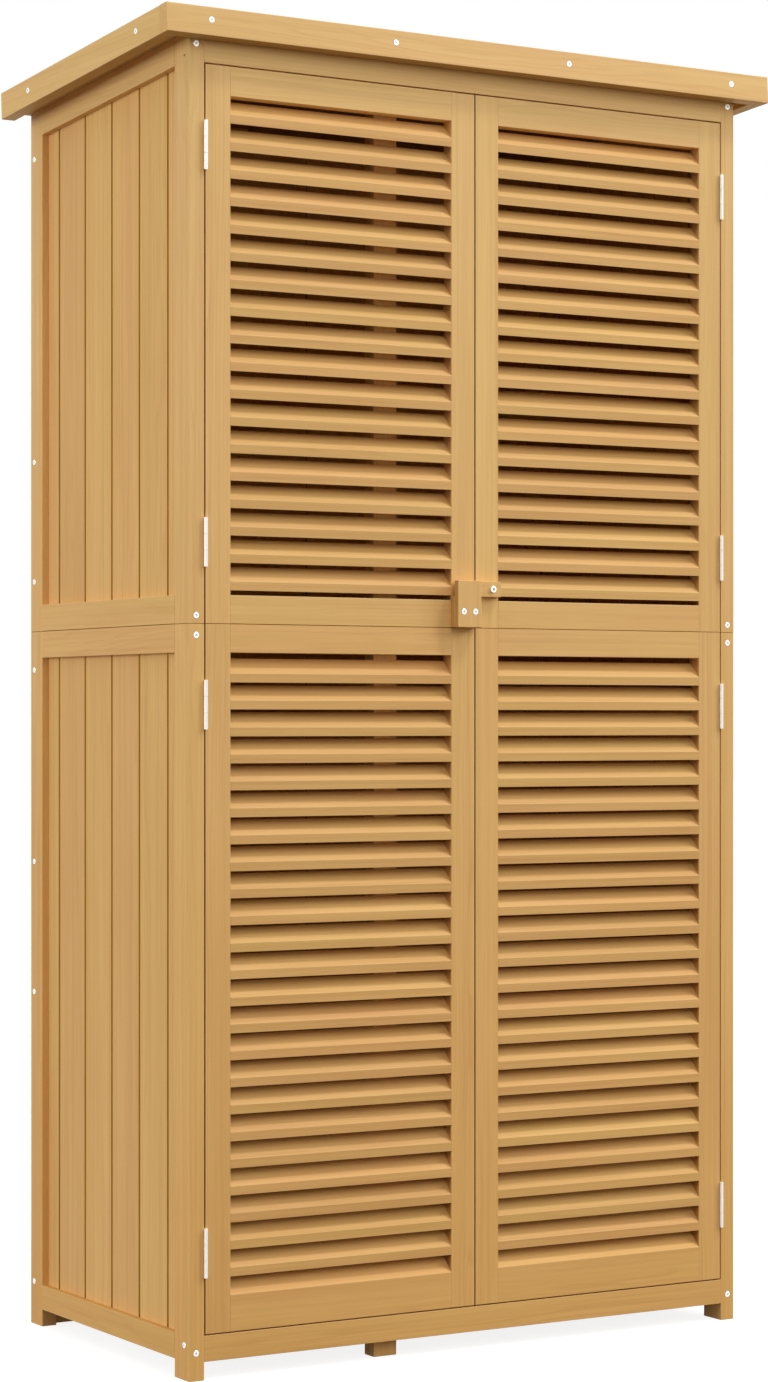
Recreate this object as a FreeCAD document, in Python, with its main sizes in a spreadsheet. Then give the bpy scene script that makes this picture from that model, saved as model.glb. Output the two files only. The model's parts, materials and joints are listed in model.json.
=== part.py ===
import FreeCAD, Part

import math
import os
import re

import Sketcher
from FreeCAD import Vector

# A garden storage cabinet of fir: two stacked modules under one pent roof, with a pair of louvred
# doors. Millimetres. The origin is on the ground, in the middle of the box that holds the cabinet.
# X runs to the right along the front, Y runs from the front to the rear, and Z points up.

SIZES = {
    # the whole cabinet
    "overall_width": 867,
    "overall_depth": 467,
    "overall_height": 1600,
    "side_eaves": 39.5,
    "front_eaves": 22,
    "rear_eaves": 5,
    "seam_height": 884,
    "fit_gap": 0.5,
    # corner posts, side rails and side boards
    "post_thickness": 20,
    "front_post_width": 37,
    "rear_post_width": 34,
    "foot_height": 21.5,
    "bottom_rail_height": 30.5,
    "seam_rail_height": 33.7,
    "top_rail_height": 32,
    "rebate_width": 8,
    "board_recess": 9,
    "board_thickness": 10,
    "side_board_first": 43.1,
    "side_board_width": 75.4,
    "board_gap": 0.2,
    "tongue_length": 4,
    "tongue_thickness": 3.4,
    "tongue_clearance": 0.15,
    "board_chamfer": 1.6,
    "pilot_radius": 1.5,
    "pilot_depth": 12,
    "pilot_setback": 12,
    "pilot_rise": 8.1,
    # front rails and back panel
    "front_rail_thickness": 19,
    "head_drop": 60.8,
    "back_frame_thickness": 20,
    "back_stile_width": 34,
    "back_top_rail_height": 34,
    "back_board_width": 116,
    # floor, divider, shelves and door stop
    "floor_thickness": 12,
    "floor_board_count": 4,
    "bearer_size": 22,
    "floor_bearer_count": 3,
    "plank_gap": 0.4,
    "divider_offset": 261,
    "divider_width": 32,
    "divider_depth": 22,
    "shelf_thickness": 12,
    "shelf_board_count": 4,
    "shelf_count": 3,
    "stop_depth": 15,
    "stop_height": 30,
    "stop_drop": 14,
    # roof
    "roof_slope": 3.6,
    "fascia_thickness": 18.5,
    "fascia_height": 34,
    "deck_seat": 8.5,
    "deck_thickness": 14,
    "deck_board_count": 5,
    "felt_thickness": 2,
    # doors
    "door_gap": 1.6,
    "door_thickness": 18,
    "stile_width": 33.1,
    "door_top_rail_height": 34.8,
    "door_bottom_rail_height": 43.4,
    "upper_louvre_start": 32.1,
    "upper_louvre_pitch": 32.21,
    "lower_louvre_start": 35.2,
    "lower_louvre_pitch": 31.68,
    "slat_face": 10.8,
    "slat_rise": 18,
    "slat_easing": 2.6,
    "housing_depth": 4,
    "housing_stop": 4,
    "housing_clearance": 0.12,
    "batten_width": 24,
    "batten_thickness": 10,
    "batten_length": 120,
    # hinges
    "hinge_inset": 95,
    "hinge_length": 58,
    "hinge_proud": 2.5,
    "barrel_radius": 2.3,
    "pin_radius": 1.25,
    "pin_clearance": 0.05,
    "leaf_thickness": 0.7,
    "leaf_width": 14,
    "knuckle_gap": 0.3,
    # latch
    "latch_clearance": 0.3,
    "latch_bar_thickness": 8,
    "latch_bar_height": 19,
    "latch_bar_length": 60.7,
    "latch_bar_overhang": 12.2,
    "latch_pivot_inset": 19.7,
    "catch_plate_thickness": 8.4,
    "catch_plate_width": 33.6,
    "catch_plate_height": 57.2,
    "catch_block_height": 37.7,
    "catch_screw_height": 19.3,
    "catch_screw_inset": 8.5,
    # screws
    "screw_head_radius": 4,
    "screw_head_depth": 3,
    "screw_head_proud": 0.4,
    "screw_shank_radius": 2.2,
    "screw_head_taper": 24,
    "post_screw_length": 60,
    "side_screw_length": 44,
    "fascia_screw_length": 45,
    "catch_screw_length": 32,
    "post_screw_setback": 9.5,
    "side_screw_setback": 12.6,
    "side_screw_height": 41.2,
    "foot_screw_height": 32.5,
    "seam_screw_drop": 13.7,
    "seam_screw_rise": 9.4,
    "top_screw_drop": 39.8,
    "fascia_screw_height": 18.9,
    "front_fascia_screw_inset": 58.5,
    "front_fascia_screw_count": 4,
    "side_fascia_screw_inset": 81,
    "rear_screw_inset": 10,
    "pivot_head_height": 2.4,
    "pivot_head_radius": 4,
    "pivot_grip": 12,
}

HEAD_SIDES = 8
SHANK_SIDES = 6
KNUCKLE_SIDES = 10
LOWER_REAR_SCREWS = (0.0614, 0.48, 0.668, 0.9445)
UPPER_REAR_SCREWS = (0.096, 0.327, 0.912)

# Planes that many pieces share, as formulas of the sizes
LEFT = "(side_eaves - overall_width / 2)"
FRONT = "(front_eaves - overall_depth / 2)"
REAR = "(overall_depth / 2 - rear_eaves)"
CARCASS_DEPTH = "(overall_depth - front_eaves - rear_eaves)"
INNER_LEFT = f"({LEFT} + post_thickness)"
INNER_WIDTH = f"(-2 * {INNER_LEFT})"
HEAD = "(overall_height - head_drop)"
RAIL_BACK = f"({FRONT} + front_rail_thickness)"
BACK_FRAME = f"({REAR} - back_frame_thickness)"
FLOOR_SEAT = "(foot_height + bottom_rail_height)"
DIVIDER_X = f"({LEFT} + divider_offset)"
EAVES_HEIGHT = "(overall_height - fascia_height * cos(roof_slope))"
ROOF_LENGTH = "((overall_depth - fascia_height * sin(roof_slope)) / cos(roof_slope))"
DECK_REAR_HEIGHT = (
    f"({EAVES_HEIGHT} + deck_seat / cos(roof_slope)"
    " - (overall_depth - rear_eaves) * tan(roof_slope))"
)
PANEL_START = "(front_post_width - rebate_width)"
PANEL_RUN = f"({CARCASS_DEPTH} - front_post_width - rear_post_width + 2 * rebate_width)"
PANEL_DEPTH = "(post_thickness - board_recess)"
BACK_PANEL_START = "(back_stile_width - rebate_width)"
BACK_PANEL_RUN = f"({INNER_WIDTH} - 2 * {BACK_PANEL_START})"
BACK_PANEL_DEPTH = "(back_frame_thickness - board_recess)"
DOOR_LEFT = f"({INNER_LEFT} + door_gap)"
DOOR_WIDTH = f"(-door_gap / 2 - {DOOR_LEFT})"
DOOR_BOTTOM = f"({FLOOR_SEAT} + door_gap)"
DOOR_TOP = f"({HEAD} - door_gap)"
OPENING_LEFT = f"({DOOR_LEFT} + stile_width)"
OPENING_WIDTH = f"({DOOR_WIDTH} - 2 * stile_width)"
HINGE_X = f"({INNER_LEFT} + door_gap / 2)"
HINGE_Y = f"({FRONT} - hinge_proud)"
LATCH_X = "(door_gap / 2 + latch_pivot_inset)"
CATCH_SEAT = "(latch_bar_thickness + 2 * latch_clearance)"
LATCH_Z = "(seam_height + catch_block_height + latch_clearance + latch_bar_height / 2)"

document = FreeCAD.newDocument("garden_storage_cabinet")
nodes = {}


def make_sheet():
    """Write the driving dimensions into a sheet, one named cell each."""
    sheet = document.addObject("Spreadsheet::Sheet", "Sizes")
    for row, (name, value) in enumerate(SIZES.items(), start=1):
        sheet.set(f"A{row}", name)
        sheet.set(f"B{row}", str(value))
        sheet.setAlias(f"B{row}", name)
    document.recompute()


def formula(text):
    """Turn plain size names into references to their cells."""
    return re.sub(r"[a-z][a-z_]*", lambda word: f"Sizes.{word[0]}" if word[0] in SIZES else word[0], text)


def bind(thing, **formulas):
    """Tie properties of a thing to formulas of the sizes."""
    for name, text in formulas.items():
        thing.setExpression(name, formula(text))


def place(thing, x="0", y="0", z="0"):
    """Tie the position of a thing to formulas of the sizes."""
    for axis, text in zip("xyz", (x, y, z)):
        thing.setExpression(f"Placement.Base.{axis}", formula(text))


def roof_spot(u, v, w):
    """A point in the tilted frame of the roof: u across, v down the slope, w above the soffit."""
    return (
        f"({u}) - overall_width / 2",
        f"({v}) * cos(roof_slope) + ({w}) * sin(roof_slope) - overall_depth / 2",
        f"{EAVES_HEIGHT} - ({v}) * sin(roof_slope) + ({w}) * cos(roof_slope)",
    )


def place_on_roof(thing, u="0", v="0", w="0"):
    """Put a thing in the tilted frame of the roof."""
    place(thing, *roof_spot(u, v, w))
    thing.Placement.Rotation = FreeCAD.Rotation(Vector(1, 0, 0), 0)
    thing.setExpression("Placement.Rotation.Angle", formula("-roof_slope"))
    thing.Placement.Rotation.Axis = Vector(1, 0, 0)


def box(name, x, y, z):
    """A plain block: each of x, y and z is its start and its size."""
    block = document.addObject("Part::Box", name)
    bind(block, Length=x[1], Width=y[1], Height=z[1])
    place(block, x[0], y[0], z[0])
    return block


def roof_box(name, u, v, w):
    """A block in the tilted frame of the roof."""
    block = document.addObject("Part::Box", name)
    bind(block, Length=u[1], Width=v[1], Height=w[1])
    place_on_roof(block, u[0], v[0], w[0])
    return block


def add_sketch(body, plane, outline):
    """Draw a closed outline whose corners are tied to formulas of the sizes."""
    sketch = body.newObject("Sketcher::SketchObject", body.Name + "_sketch")
    origin_plane = next(part for part in body.Origin.OriginFeatures if part.Role == plane)
    sketch.AttachmentSupport = [(origin_plane, "")]
    sketch.MapMode = "FlatFace"
    count = len(outline)
    turn = 2 * math.pi / count
    corners = [Vector(math.cos(i * turn), math.sin(i * turn), 0) for i in range(count)]
    for i in range(count):
        sketch.addGeometry(Part.LineSegment(corners[i], corners[(i + 1) % count]), False)
    for i in range(count):
        sketch.addConstraint(Sketcher.Constraint("Coincident", i, 2, (i + 1) % count, 1))
    for i, corner in enumerate(outline):
        for kind, start, text in zip(("DistanceX", "DistanceY"), corners[i], corner):
            number = sketch.addConstraint(Sketcher.Constraint(kind, -1, 1, i, 1, start))
            sketch.setExpression(f"Constraints[{number}]", formula(text))
    return sketch


def prism(name, plane, outline, length, at=("0", "0", "0")):
    """A body of constant section: the outline, padded along the plane's normal."""
    body = document.addObject("PartDesign::Body", name)
    sketch = add_sketch(body, plane, outline)
    pad = body.newObject("PartDesign::Pad", name + "_pad")
    pad.Profile = sketch
    bind(pad, Length=length)
    place(body, *at)
    return body


def repeat(body, axis, spacing, count, backwards=False):
    """Repeat a body's last feature along an axis of its sketch."""
    pattern = body.newObject("PartDesign::LinearPattern", body.Name + "_pattern")
    pattern.Originals = [body.Tip]
    pattern.Direction = (body.Group[0], [axis])
    pattern.Reversed = backwards
    bind(pattern, Length=f"({spacing}) * (({count}) - 1)", Occurrences=count)
    body.Tip = pattern


def compound(name, pieces):
    """Separate solids that share one node."""
    group = document.addObject("Part::Compound", name)
    group.Links = pieces
    return group


def cut(name, base, tool):
    """Take the tool away from the base."""
    result = document.addObject("Part::Cut", name)
    result.Base = base
    result.Tool = tool
    return result


def fuse(name, pieces):
    """One solid made of the pieces."""
    result = document.addObject("Part::MultiFuse", name)
    result.Shapes = pieces
    return result


def mirrored(name, source):
    """The same piece on the other side of the cabinet."""
    mirror = document.addObject("Part::Mirroring", name)
    mirror.Source = source
    mirror.Normal = Vector(1, 0, 0)
    return mirror


def copy_at(name, source, x, y, z, turn=None):
    """A copy of a fitting at its own place, turned by an axis and an angle in degrees."""
    copy = document.addObject("App::Link", name)
    copy.LinkedObject = source
    if turn:
        copy.LinkPlacement = FreeCAD.Placement(Vector(), FreeCAD.Rotation(*turn))
    for axis, text in zip("xyz", (x, y, z)):
        copy.setExpression(f"LinkPlacement.Base.{axis}", formula(text))
    return copy


def keep(label, piece):
    """Name a finished sub-part."""
    piece.Label = label
    nodes[label] = piece
    return piece


def keep_pair(label, piece):
    """Name a finished sub-part of the left side, and its mirror image on the right."""
    keep("left_" + label, piece)
    keep("right_" + label, mirrored("right_" + label, piece))


def above_deck():
    """The space above the plane that the roof boards lie on."""
    return roof_box(
        "above_deck",
        ("-overall_width", "3 * overall_width"),
        ("-overall_depth", "3 * overall_depth"),
        ("deck_seat", "overall_height"),
    )


def rectangle(width, height):
    """The corners of a rectangle from the sketch's origin."""
    return [("0", "0"), (width, "0"), (width, height), ("0", height)]


def make_posts():
    """Four corner posts, each in two lengths that meet at the seam. The rebate for the boards stops
    above the foot, which is left whole."""
    lip = "front_post_width - rebate_width"
    front = [
        ("0", "0"),
        ("post_thickness", "0"),
        ("post_thickness", lip),
        ("board_recess", lip),
        ("board_recess", "front_post_width"),
        ("0", "front_post_width"),
    ]
    rear = [
        ("0", "0"),
        ("board_recess", "0"),
        ("board_recess", "rebate_width"),
        ("post_thickness", "rebate_width"),
        ("post_thickness", "rear_post_width"),
        ("0", "rear_post_width"),
    ]
    rear_y = f"{REAR} - rear_post_width"
    upper_length = "overall_height - seam_height"
    for label, outline, y in (("front", front, FRONT), ("rear", rear, rear_y)):
        shaft = prism(f"{label}_lower_shaft", "XY_Plane", outline, "seam_height", (LEFT, y, "0"))
        foot_y = (y, f"{label}_post_width")
        foot = box(f"{label}_foot", (LEFT, "post_thickness"), foot_y, ("0", "foot_height"))
        lower = fuse(f"{label}_lower_post", [shaft, foot])
        lower.Refine = True
        keep_pair(f"{label}_lower_post", lower)
        upper = prism(f"{label}_upper_post", "XY_Plane", outline, upper_length, (LEFT, y, "seam_height"))
        tools = [above_deck()]
        if label == "front":
            tools.append(make_pilot_hole())
        keep_pair(f"{label}_upper_post", cut(f"{label}_upper_post_cut", upper, compound("tools", tools)))


def make_pilot_hole():
    """The empty pilot hole in the outer face of a front post, level with the front top rail."""
    hole = document.addObject("Part::Prism", "pilot_hole")
    hole.Polygon = HEAD_SIDES
    bind(hole, Circumradius="pilot_radius", Height="pilot_depth")
    hole.Placement.Rotation = FreeCAD.Rotation(Vector(0, 1, 0), 90)
    place(hole, LEFT, f"{FRONT} + pilot_setback", f"{HEAD} + pilot_rise")
    return hole


def make_side_rails():
    """Side rails with half-lapped ends, rebated on the inside for the boards."""
    first, last = PANEL_START, f"({PANEL_START} + {PANEL_RUN})"
    shoulder = f"{CARCASS_DEPTH} - rear_post_width"
    outline = [
        ("0", "front_post_width"),
        ("board_recess", "front_post_width"),
        ("board_recess", first),
        ("post_thickness", first),
        ("post_thickness", last),
        ("board_recess", last),
        ("board_recess", shoulder),
        ("0", shoulder),
    ]

    def rail(name, start, height):
        return prism(name, "XY_Plane", outline, height, (LEFT, FRONT, start))

    def panel_space(name, start, height):
        return box(
            name,
            (f"{LEFT} + board_recess", PANEL_DEPTH),
            (f"{FRONT} + {PANEL_START}", PANEL_RUN),
            (start, height),
        )

    lower_start = f"({FLOOR_SEAT} - rebate_width)"
    lower_height = f"(seam_height - seam_rail_height + rebate_width - {lower_start})"
    upper_start = "(seam_height + seam_rail_height - rebate_width)"
    lower = compound(
        "lower_rails",
        [
            rail("bottom_rail", "foot_height", "bottom_rail_height"),
            rail("lower_seam_rail", "seam_height - seam_rail_height", "seam_rail_height"),
        ],
    )
    lower_space = panel_space("lower_panel_space", lower_start, lower_height)
    keep_pair("lower_side_rails", cut("lower_rails_cut", lower, lower_space))

    slab = roof_box(
        "top_rail_slab",
        ("0", "overall_width"),
        ("0", ROOF_LENGTH),
        ("deck_seat - top_rail_height", "top_rail_height"),
    )
    top = document.addObject("Part::Common", "top_rail")
    top.Base = rail("top_rail_blank", f"{DECK_REAR_HEIGHT} - 2 * top_rail_height", "overall_height")
    top.Tool = slab
    upper = compound("upper_rails", [rail("upper_seam_rail", "seam_height", "seam_rail_height"), top])
    tall_space = panel_space("tall_panel_space", upper_start, f"overall_height - {upper_start}")
    keep_pair(
        "upper_side_rails",
        cut("upper_rails_cut", upper, cut("upper_panel_space", tall_space, above_panel("space_top"))),
    )
    make_side_boards("lower", lower_start, lower_height)
    make_side_boards("upper", upper_start, f"overall_height - {upper_start}")


def above_panel(name):
    """The space above the top ends of the upper side boards, level with the rebate in the top rail."""
    return roof_box(
        name,
        ("0", "overall_width"),
        ("0", ROOF_LENGTH),
        ("deck_seat - top_rail_height + rebate_width", "overall_height"),
    )


def board_outline(width, grooved, tongued, section):
    """The section of one matched board. section turns (across, through) into sketch coordinates."""
    near_side = "(board_thickness - tongue_thickness) / 2"
    far_side = "(board_thickness + tongue_thickness) / 2"
    corners = [("board_chamfer" if grooved else "0", "0")]
    if tongued:
        corners += [
            (f"{width} - board_chamfer", "0"),
            (width, "board_chamfer"),
            (width, near_side),
            (f"{width} + tongue_length", near_side),
            (f"{width} + tongue_length", far_side),
            (width, far_side),
            (width, "board_thickness"),
        ]
    else:
        corners += [(width, "0"), (width, "board_thickness")]
    corners.append(("0", "board_thickness"))
    if grooved:
        corners += [
            ("0", f"{far_side} + tongue_clearance"),
            ("tongue_length + tongue_clearance", f"{far_side} + tongue_clearance"),
            ("tongue_length + tongue_clearance", f"{near_side} - tongue_clearance"),
            ("0", f"{near_side} - tongue_clearance"),
            ("0", "board_chamfer"),
        ]
    return [section(*corner) for corner in corners]


def board_row(name, run, first, pitch, height, at, section, axis):
    """Upright tongued and grooved boards side by side: first, repeated middle ones and last."""
    middle_count = f"(ceil(({run} - {first}) / {pitch}) - 1)"
    last = f"({run} - {first} - {middle_count} * {pitch})"

    def board(part, start, width, grooved, tongued):
        shown_width = f"({width} - board_gap)" if tongued else width
        outline = board_outline(shown_width, grooved, tongued, section)
        moved = [f"({a}) + ({b})" for a, b in zip(at, (*section(start, "0"), "0"))]
        origin = [f"({a}) - ({b})" for a, b in zip(moved, (*section("0", "0"), "0"))]
        return prism(f"{name}_{part}", "XY_Plane", outline, height, origin)

    middle = board("middle", first, pitch, True, True)
    repeat(middle, axis, pitch, middle_count)
    return compound(
        name,
        [
            board("first", "0", first, False, True),
            middle,
            board("last", f"{first} + {middle_count} * {pitch}", last, True, False),
        ],
    )


def make_side_boards(level, start, height):
    """The boards of one side panel, held in the rebates of the posts and rails."""
    boards = board_row(
        f"{level}_side_boards",
        PANEL_RUN,
        "side_board_first",
        "side_board_width",
        height,
        (f"{LEFT} + board_recess", f"{FRONT} + {PANEL_START}", start),
        lambda across, through: (through, across),
        "V_Axis",
    )
    if level == "upper":
        boards = cut("upper_side_boards_cut", boards, above_panel("board_top"))
    keep_pair(f"{level}_side_boards", boards)


def make_front_rails():
    """The two rails between the front posts, below and above the doors."""
    x = (INNER_LEFT, INNER_WIDTH)
    y = (FRONT, "front_rail_thickness")
    keep("front_bottom_rail", box("front_bottom_rail", x, y, ("foot_height", "bottom_rail_height")))
    blank = box("front_top_rail_blank", x, y, (HEAD, "head_drop"))
    keep("front_top_rail", cut("front_top_rail", blank, above_deck()))


def make_back_panel():
    """The back panel: framed like the sides, one frame in each module, set between the rear posts.
    It reaches down to the ground."""
    width = "back_stile_width"
    stile_outline = [
        ("0", "0"),
        (BACK_PANEL_START, "0"),
        (BACK_PANEL_START, BACK_PANEL_DEPTH),
        (width, BACK_PANEL_DEPTH),
        (width, "back_frame_thickness"),
        ("0", "back_frame_thickness"),
    ]
    inner_end = f"({INNER_WIDTH} - {BACK_PANEL_START})"
    outer_end = f"({INNER_WIDTH} - {width})"
    rail_outline = [
        (BACK_PANEL_START, "0"),
        (inner_end, "0"),
        (inner_end, BACK_PANEL_DEPTH),
        (outer_end, BACK_PANEL_DEPTH),
        (outer_end, "back_frame_thickness"),
        (width, "back_frame_thickness"),
        (width, BACK_PANEL_DEPTH),
        (BACK_PANEL_START, BACK_PANEL_DEPTH),
    ]
    corner = (INNER_LEFT, BACK_FRAME)
    upper_length = "overall_height - seam_height"
    lower = prism("lower_back_stile", "XY_Plane", stile_outline, "seam_height", (*corner, "0"))
    blank = prism("upper_back_stile", "XY_Plane", stile_outline, upper_length, (*corner, "seam_height"))
    stiles = compound("left_back_stiles", [lower, cut("upper_back_stile_cut", blank, above_deck())])
    keep("back_stiles", compound("back_stiles", [stiles, mirrored("right_back_stiles", stiles)]))

    head = f"({DECK_REAR_HEIGHT} - back_top_rail_height)"
    rails = [
        prism(f"back_rail_{number}", "XY_Plane", rail_outline, height, (*corner, start))
        for number, (start, height) in enumerate(
            (
                ("0", FLOOR_SEAT),
                ("seam_height - seam_rail_height", "seam_rail_height"),
                ("seam_height", "seam_rail_height"),
                (head, f"overall_height - {head}"),
            )
        )
    ]
    x = (f"{INNER_LEFT} + {BACK_PANEL_START}", BACK_PANEL_RUN)
    y = (BACK_FRAME, BACK_PANEL_DEPTH)
    spans = {
        "lower": (f"({FLOOR_SEAT} - rebate_width)", "(seam_height - seam_rail_height + rebate_width)"),
        "upper": ("(seam_height + seam_rail_height - rebate_width)", f"({head} + rebate_width)"),
    }
    tools = [above_deck()]
    for level, (start, end) in spans.items():
        z = (start, f"{end} - {start}")
        tools.append(box(f"{level}_back_space", x, y, z))
        boards = board_row(
            f"{level}_back_boards",
            BACK_PANEL_RUN,
            "back_board_width",
            "back_board_width",
            z[1],
            (x[0], f"{BACK_FRAME} + {BACK_PANEL_DEPTH}", z[0]),
            lambda across, through: (across, f"-({through})"),
            "H_Axis",
        )
        keep(f"{level}_back_boards", boards)
    spaces = compound("back_spaces", tools)
    keep("back_rails", cut("back_rails", compound("back_rail_blanks", rails), spaces))


def planks(name, x, y, z, count):
    """Planks that run along X and lie side by side in Y."""
    pitch = f"(({y[1]} + plank_gap) / {count})"
    body = prism(name, "YZ_Plane", rectangle(f"{pitch} - plank_gap", z[1]), x[1], (x[0], y[0], z[0]))
    repeat(body, "H_Axis", pitch, count)
    return body


def make_floor():
    """Floor boards on three bearers, notched around the divider posts."""
    floor_run = f"({BACK_FRAME} - {RAIL_BACK})"
    pitch = f"(({INNER_WIDTH} - bearer_size) / (floor_bearer_count - 1))"
    bearers = prism(
        "floor_bearers",
        "XY_Plane",
        rectangle("bearer_size", floor_run),
        "bearer_size",
        (INNER_LEFT, RAIL_BACK, f"{FLOOR_SEAT} - bearer_size"),
    )
    repeat(bearers, "H_Axis", pitch, "floor_bearer_count")
    keep("floor_bearers", bearers)
    boards = planks(
        "floor_board_row",
        (f"{INNER_LEFT} + fit_gap", f"{INNER_WIDTH} - 2 * fit_gap"),
        (RAIL_BACK, floor_run),
        (FLOOR_SEAT, "floor_thickness"),
        "floor_board_count",
    )
    front_notch = divider_notch("floor_notch_front", RAIL_BACK)
    rear_notch = divider_notch("floor_notch_rear", f"{BACK_FRAME} - divider_depth")
    keep("floor_boards", cut("floor_boards", boards, compound("floor_notches", [front_notch, rear_notch])))


def divider_notch(name, y):
    """The space of a divider post with its clearance all round."""
    return box(
        name,
        (f"{DIVIDER_X} - fit_gap", "divider_width + 2 * fit_gap"),
        (f"{y} - fit_gap", "divider_depth + 2 * fit_gap"),
        ("0", "overall_height"),
    )


def make_divider():
    """The inner posts that divide the wide shelf side from the narrow tall side."""
    x = (DIVIDER_X, "divider_width")
    lower, upper = [], []
    for place_name, start in (("front", RAIL_BACK), ("rear", f"{BACK_FRAME} - divider_depth")):
        y = (start, "divider_depth")
        lower.append(box(f"{place_name}_lower_divider", x, y, ("0", "seam_height")))
        z = ("seam_height", "overall_height - seam_height")
        upper.append(box(f"{place_name}_upper_divider", x, y, z))
    keep("lower_divider_posts", compound("lower_divider_posts", lower))
    keep("upper_divider_posts", cut("upper_divider_posts", compound("upper_dividers", upper), above_deck()))


def make_shelves():
    """Fixed shelves between the divider and the right side, each on two bearers."""
    shelf_left = f"({DIVIDER_X} + divider_width - bearer_size)"
    shelf_front = f"({RAIL_BACK} + divider_depth)"
    shelf_run = f"({BACK_FRAME} - divider_depth - {shelf_front})"
    inner_right = f"(-{INNER_LEFT})"
    side_front = f"({FRONT} + door_thickness + batten_thickness + fit_gap)"
    floor_top = f"({FLOOR_SEAT} + floor_thickness)"
    bearers, boards = [], []
    for level in range(SIZES["shelf_count"]):
        height = f"({floor_top} + {level + 1} * ({HEAD} - {floor_top}) / (shelf_count + 1))"
        z = (f"{height} - bearer_size", "bearer_size")
        divider_x = (shelf_left, "bearer_size")
        bearers.append(box(f"divider_bearer_{level}", divider_x, (shelf_front, shelf_run), z))
        side_x = (f"{inner_right} - bearer_size", "bearer_size")
        side_y = (side_front, f"{BACK_FRAME} - {side_front}")
        bearers.append(box(f"side_bearer_{level}", side_x, side_y, z))
        boards.append(
            planks(
                f"shelf_{level}",
                (shelf_left, f"{inner_right} - fit_gap - {shelf_left}"),
                (f"{shelf_front} + fit_gap", f"{shelf_run} - 2 * fit_gap"),
                (height, "shelf_thickness"),
                "shelf_board_count",
            )
        )
    keep("shelf_bearers", compound("shelf_bearers", bearers))
    keep("shelf_boards", compound("shelf_boards", boards))


def make_door_stop():
    """The battens behind the front top rail that the doors close against."""
    batten = box(
        "door_stop_batten",
        (f"{INNER_LEFT} + fit_gap", f"{INNER_WIDTH} - 2 * fit_gap"),
        (RAIL_BACK, "stop_depth"),
        (f"{HEAD} - stop_drop", "stop_height"),
    )
    keep("door_stop_battens", cut("door_stop_battens", batten, divider_notch("stop_notch", RAIL_BACK)))


def make_roof():
    """The pent roof: boards and felt inside fascia boards that stand a little above them."""
    inside = ("fascia_thickness", "overall_width - 2 * fascia_thickness")
    run = f"({ROOF_LENGTH} - fascia_thickness)"
    pitch = f"(({run} + plank_gap) / deck_board_count)"
    deck = prism("roof_boards", "YZ_Plane", rectangle(f"{pitch} - plank_gap", "deck_thickness"), inside[1])
    repeat(deck, "H_Axis", pitch, "deck_board_count")
    place_on_roof(deck, "fascia_thickness", "fascia_thickness", "deck_seat")
    keep("roof_boards", deck)
    felt_w = ("deck_seat + deck_thickness", "felt_thickness")
    keep("roof_felt", roof_box("roof_felt", inside, ("fascia_thickness", run), felt_w))
    height = ("0", "fascia_height")
    front = roof_box("front_fascia", ("0", "overall_width"), ("0", "fascia_thickness"), height)
    keep("front_fascia", front)
    side = roof_box("left_fascia", ("0", "fascia_thickness"), ("fascia_thickness", run), height)
    keep_pair("fascia", side)


def make_slats(name, first_height, pitch, count):
    """Louvre slats: upright front edge with an eased arris, rising into the cabinet, ends notched."""
    outline = [
        ("0", "0"),
        ("door_thickness", "slat_rise"),
        ("door_thickness", "slat_rise + slat_face"),
        ("0", "slat_face"),
    ]
    length = f"({OPENING_WIDTH} + 2 * housing_depth)"
    body = prism(name, "YZ_Plane", outline, length)
    pad = body.Tip
    document.recompute()
    front_top = [
        f"Edge{number}"
        for number, edge in enumerate(pad.Shape.Edges, start=1)
        if abs(edge.CenterOfMass.y) < 1e-6 and abs(edge.CenterOfMass.z - SIZES["slat_face"]) < 1e-6
    ]
    easing = body.newObject("PartDesign::Chamfer", name + "_easing")
    easing.Base = (pad, front_top)
    bind(easing, Size="slat_easing")
    for end, start in (("left", "0"), ("right", f"{length} - housing_depth")):
        corners = [
            (start, "0"),
            (f"{start} + housing_depth", "0"),
            (f"{start} + housing_depth", "housing_stop + housing_clearance"),
            (start, "housing_stop + housing_clearance"),
        ]
        sketch = add_sketch(body, "XY_Plane", corners)
        notch = body.newObject("PartDesign::Pocket", f"{name}_{end}_notch")
        notch.Profile = sketch
        notch.Type = "ThroughAll"
        notch.Midplane = True
    x = f"{OPENING_LEFT} - housing_depth"
    pieces = [
        copy_at(f"{name}_{number}", body, x, FRONT, f"{first_height} - {number} * {pitch}")
        for number in range(count)
    ]
    return compound(name + "_row", pieces)


def make_housings(name, first_height, pitch, count):
    """The sloping grooves that hold the slats' ends, open at the back and stopped before the face."""
    rise = "slat_rise / door_thickness"
    start, end = "housing_stop", "(door_thickness + slat_face)"
    gap = "housing_clearance"
    outline = [
        (start, f"{start} * {rise} - {gap}"),
        (end, f"{end} * {rise} - {gap}"),
        (end, f"{end} * {rise} + slat_face + {gap}"),
        (start, f"{start} * {rise} + slat_face + {gap}"),
    ]
    length = f"{OPENING_WIDTH} + 2 * housing_depth + 2 * {gap}"
    at = (f"{OPENING_LEFT} - housing_depth - {gap}", FRONT, first_height)
    body = prism(name, "YZ_Plane", outline, length, at)
    repeat(body, "V_Axis", pitch, count, backwards=True)
    return body


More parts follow.
